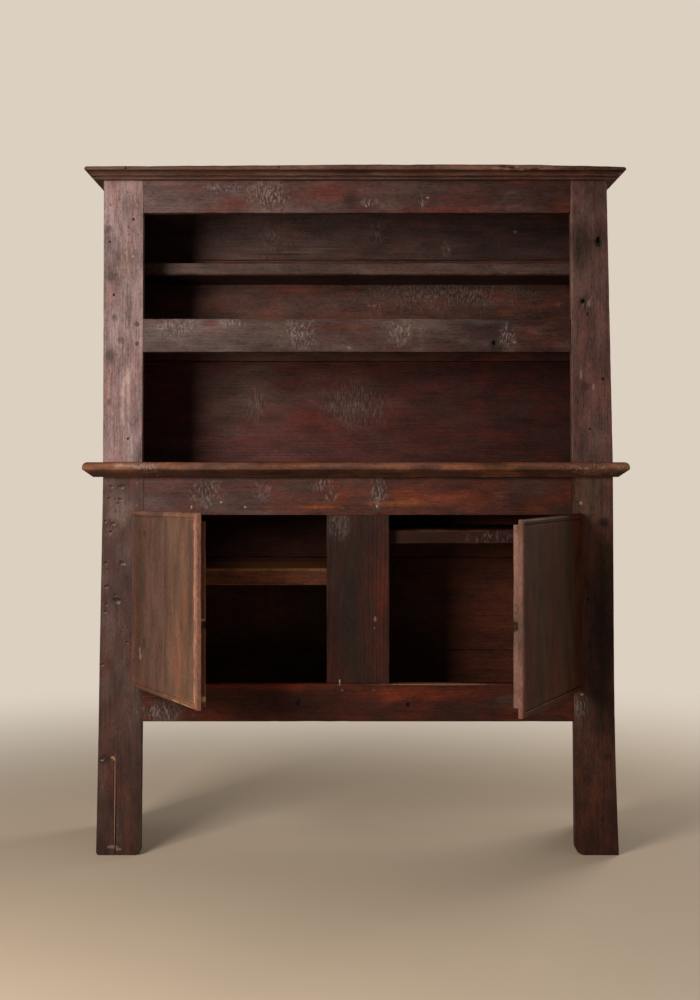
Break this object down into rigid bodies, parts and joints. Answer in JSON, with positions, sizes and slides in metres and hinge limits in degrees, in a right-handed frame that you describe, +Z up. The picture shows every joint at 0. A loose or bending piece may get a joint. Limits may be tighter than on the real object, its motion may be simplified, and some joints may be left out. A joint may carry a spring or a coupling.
{
  "type": "court cupboard",
  "caption": "Country court cupboard in stained pine: a base with lipped doors on plank legs, a moulded counter board, and an open plate rack under a moulded crown.",
  "frame": {"origin": "on the floor, under the middle of the bounding box of the rest pose, in which both doors stand open", "axes": "+X to the viewer's right, +Y from the doors to the wall, +Z up"},
  "size_m": [1.3546, 0.8513, 1.72],
  "materials": {
    "stile_pine": "old dark stain, rubbed",
    "rail_pine": "old red-brown stain, rubbed",
    "door_pine": "worn stain over bare patches",
    "counter_pine": "red-brown stain, polished by use",
    "crown_pine": "red-brown stain, chipped",
    "back_pine": "thin stain, matt",
    "shelf_pine": "thin stain, rubbed at the front",
    "side_pine": "old dark stain",
    "peg_wood": "end grain, stained",
    "iron": "forged, rusted dark"
  },
  "bodies": {
    "carcass": {"base_back_board_high": "back_pine", "base_back_board_low": "back_pine", "base_back_board_middle": "back_pine", "base_bottom_rail": "rail_pine", "base_frame_pegs": "peg_wood", "base_left_side": "side_pine", "base_nails": "iron", "base_right_side": "side_pine", "base_side_pegs": "peg_wood", "base_top_rail": "rail_pine", "bottom_board": "shelf_pine", "center_muntin": "stile_pine", "counter_board": "counter_pine", "counter_dowels": "peg_wood", "crown_front": "crown_pine", "crown_left_return": "crown_pine", "crown_nails": "iron", "crown_right_return": "crown_pine", "frieze_rail": "rail_pine", "hinge_frame_nails": "iron", "left_front_leg": "stile_pine", "left_hinge_frame_leaves": "iron", "left_hinge_pins": "iron", "left_shelf": "shelf_pine", "left_shelf_cleats": "shelf_pine", "mid_rail": "rail_pine", "mid_shelf": "shelf_pine", "mid_shelf_cleats": "shelf_pine", "partition": "shelf_pine", "rack_back_board_high": "back_pine", "rack_back_board_low": "back_pine", "rack_back_board_middle": "back_pine", "rack_dowels": "peg_wood", "rack_frame_pegs": "peg_wood", "rack_left_side": "side_pine", "rack_left_stile": "stile_pine", "rack_nails": "iron", "rack_right_side": "side_pine", "rack_right_stile": "stile_pine", "rack_side_pegs": "peg_wood", "right_front_leg": "stile_pine", "right_hinge_frame_leaves": "iron", "right_hinge_pins": "iron", "right_shelf": "shelf_pine", "right_shelf_cleats": "shelf_pine", "top_board": "crown_pine", "upper_shelf": "shelf_pine", "upper_shelf_cleats": "shelf_pine"},
    "left_door": {"left_door_battens": "door_pine", "left_door_free_side_board": "door_pine", "left_door_hinge_leaves": "iron", "left_door_hinge_side_board": "door_pine", "left_door_nails": "iron"},
    "right_door": {"right_door_battens": "door_pine", "right_door_free_side_board": "door_pine", "right_door_hinge_leaves": "iron", "right_door_hinge_side_board": "door_pine", "right_door_nails": "iron"}
  },
  "joints": [
    {"name": "left_door_hinge", "type": "hinge", "parent": "carcass", "child": "left_door", "pos_m": [-0.55275, 0.02175, 0.6395], "axis": [0, 0, -1], "range_deg": [-65.5, 44.5]},
    {"name": "right_door_hinge", "type": "hinge", "parent": "carcass", "child": "right_door", "pos_m": [0.55875, 0.02175, 0.6395], "axis": [0, 0, 1], "range_deg": [-66.3, 43.7]}
  ]
}
